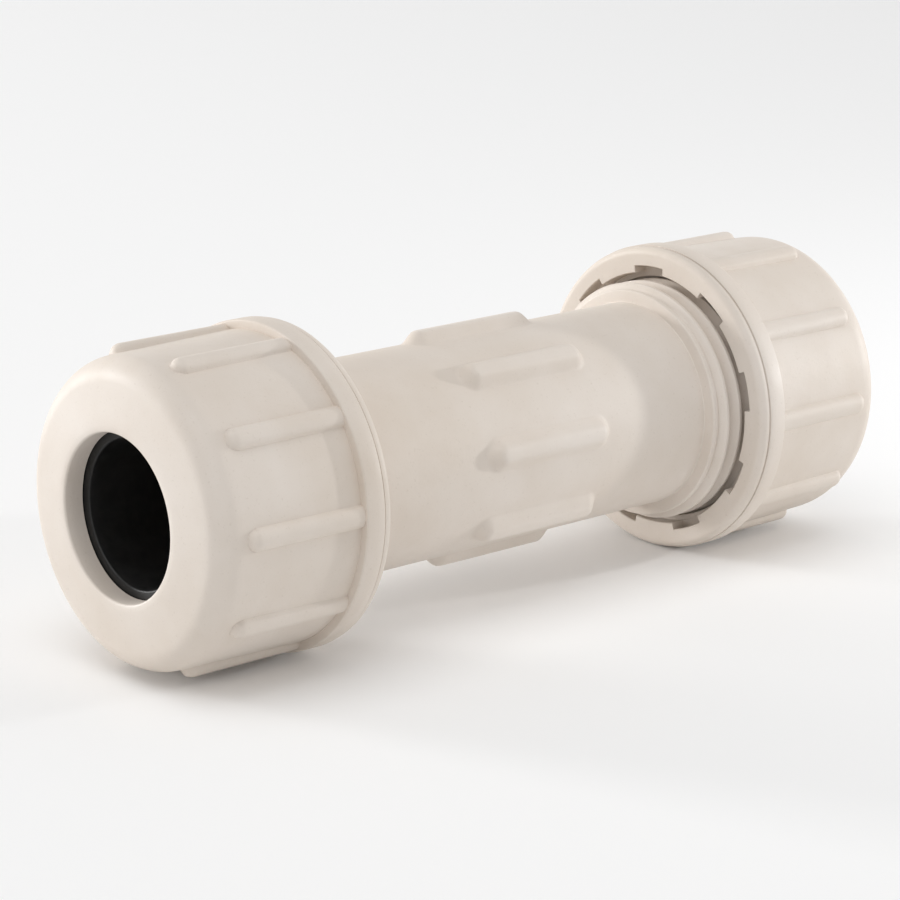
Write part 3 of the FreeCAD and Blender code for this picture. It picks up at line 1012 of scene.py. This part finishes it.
# %% Make the tube
HAIR = 0.001
CLEAR = 1.0
TUBE_RIB_COLUMNS = (0.0, 0.45, 0.75, 0.9, 1.05, 1.3, 1.7, 2.1, 2.35, 2.5, 2.7, 3.2, 4.0, 5.0)


def on_rim(row):
    """Whether a row lies where the ridge rises out of the collar."""
    return abs(row[0]) > face_top[0] - HAIR and row[1] > root_radius - HAIR


def on_barrel(row):
    """Whether a row lies on the barrel's outside, where the ribs are."""
    return abs(row[0]) < COLLAR_BACK - CLEAR and row[1] > BORE + CLEAR


tube_marks = {
    "from": [row[2] * MM for row in tube_rows],
    "to": [row[3] * MM for row in tube_rows],
    "threaded": [float(row[3] > row[2] or on_rim(row)) for row in tube_rows],
    "outside": [float(on_barrel(row)) for row in tube_rows],
}
tube_points = [(row[0] * MM, 0, row[1] * MM) for row in tube_rows]
tube_profile = table_object("tube profile", tube_points, tube_marks)
rib_middle_radius = barrel_radius + BODY_RIB_HEIGHT / 2
tube_angles = [
    BODY_RIB_ANGLE + number * 360 / BODY_RIB_COUNT + sign * math.degrees(offset / rib_middle_radius)
    for number in range(BODY_RIB_COUNT)
    for offset in TUBE_RIB_COLUMNS
    for sign in (-1, 1)
]
tube_columns = columns_around(tube_angles)
tube = piece_from_tree("threaded_tube", tube_skin, tube_profile, tube_columns, {"Finish": plastic})
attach(tube, "fitting_body")
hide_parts("body")

# %% Make the nuts and the gaskets
TURNS = {"right": 0.5, "left": 1.9}
SEAL_COLUMN_SPACING = 3.0
for side, turn in TURNS.items():
    low, high = in_mm(side + "_nut")
    end = max(abs(low[0]), abs(high[0]))
    values = {
        "Finish": plastic, "Turn": math.radians(turn), "Left End": float(side == "left"),
        "Lead In": (end - NUT_LENGTH + MOUTH_DEPTH + RIDGE_LEAD) * MM,
        "Rib End": (end - NUT_RIB_SETBACK) * MM,
    }
    cap = piece_from_tree(side + "_ribbed_nut", nut_skin, nut_profile(end), nut_columns(turn), values)
    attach(cap, side + "_cap")
    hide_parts(side + "_nut")

    values = {"Finish": rubber, "Left End": float(side == "left")}
    columns = columns_around([0.0], SEAL_COLUMN_SPACING)
    seal = piece_from_tree(side + "_seal_ring", gasket_skin, gasket_profile(), columns, values)
    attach(seal, side + "_seal")
    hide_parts(side + "_gasket")

# %% [markdown]
# ## Floor, light and view
#
# The fitting lies on a pale table in a studio tent. The background is white by its colour, so
# no lamp has to burn it out. The key lamp stands almost level at the left and behind, a small
# weak one close on the right, and a wide one over the table adds to the tent's own light.

# %% Floor
FLOOR_HEIGHT = cad_box[0][2]
FLOOR_HALF = 4.0
FLOOR_WHITE = shade(250, 250, 250)

floor_mesh = bpy.data.meshes.new("floor")
quarters = ((-1, -1), (1, -1), (1, 1), (-1, 1))
corners = [(right * FLOOR_HALF, back * FLOOR_HALF, FLOOR_HEIGHT) for right, back in quarters]
floor_mesh.from_pydata(corners, [], [(0, 1, 2, 3)])
floor = bpy.data.objects.new("floor", floor_mesh)
bpy.context.scene.collection.objects.link(floor)
floor_finish = Finish("white table", Base_Color=FLOOR_WHITE, Roughness=0.7, Specular_IOR_Level=0.2)
floor_mesh.materials.append(floor_finish.material)


# %% Lamps
def lamp(name, direction, distance, size, power):
    """A square soft lamp that faces the fitting from a direction."""
    data = bpy.data.lights.new(name, "AREA")
    data.shape = "SQUARE"
    data.size = size
    data.energy = power
    made = bpy.data.objects.new(name, data)
    towards = Vector(direction).normalized()
    made.location = towards * distance
    made.rotation_euler = towards.to_track_quat("Z", "Y").to_euler()
    bpy.context.scene.collection.objects.link(made)
    return made


lamp("key", direction=(-0.44, 0.89, 0.13), distance=1.5, size=0.35, power=12.9)
lamp("overhead", direction=(-0.3, -0.12, 1.0), distance=2.7, size=2.4, power=26.0)
lamp("spot on the right", direction=(0.30, -0.129, 0.047), distance=0.33, size=0.016, power=0.34)

# %% White surroundings
WHITE = (1.0, 1.0, 1.0, 1.0)
TENT_STRENGTH = 0.56

world = bpy.data.worlds.new("tent")
bpy.context.scene.world = world
world.use_nodes = True
nodes, links = world.node_tree.nodes, world.node_tree.links
nodes.clear()
fill, white = nodes.new("ShaderNodeBackground"), nodes.new("ShaderNodeBackground")
fill.inputs["Color"].default_value = WHITE
fill.inputs["Strength"].default_value = TENT_STRENGTH
white.inputs["Color"].default_value = WHITE
white.inputs["Strength"].default_value = 1.0
rays = nodes.new("ShaderNodeLightPath")
seen = None
for ray in ("Is Camera Ray", "Is Glossy Ray", "Is Transmission Ray"):
    if seen is None:
        seen = rays.outputs[ray]
        continue
    added = nodes.new("ShaderNodeMath")
    added.operation = "MAXIMUM"
    links.new(seen, added.inputs[0])
    links.new(rays.outputs[ray], added.inputs[1])
    seen = added.outputs[0]
chosen, out = nodes.new("ShaderNodeMixShader"), nodes.new("ShaderNodeOutputWorld")
links.new(seen, chosen.inputs["Fac"])
links.new(fill.outputs[0], chosen.inputs[1])
links.new(white.outputs[0], chosen.inputs[2])
links.new(chosen.outputs[0], out.inputs["Surface"])

# %% Camera
LENS = 134.25
SENSOR = 36.0
DISTANCE = 0.4574
AZIMUTH = -42.1
ELEVATION = 15.16
ROLL = 0.49
AIM = Vector((-0.00486, 0.0, -0.00089))

across, up = math.radians(AZIMUTH), math.radians(ELEVATION)
level = math.cos(up)
towards_camera = Vector((math.sin(across) * level, -math.cos(across) * level, math.sin(up)))
facing = towards_camera.to_track_quat("Z", "Y")
facing = facing @ Quaternion((0.0, 0.0, 1.0), math.radians(ROLL))
camera_data = bpy.data.cameras.new("camera")
camera_data.lens = LENS
camera_data.sensor_width = SENSOR
camera = bpy.data.objects.new("camera", camera_data)
camera.location = AIM + DISTANCE * towards_camera
camera.rotation_euler = facing.to_euler()
bpy.context.scene.collection.objects.link(camera)
bpy.context.scene.camera = camera
bpy.context.scene.view_settings.view_transform = "Standard"
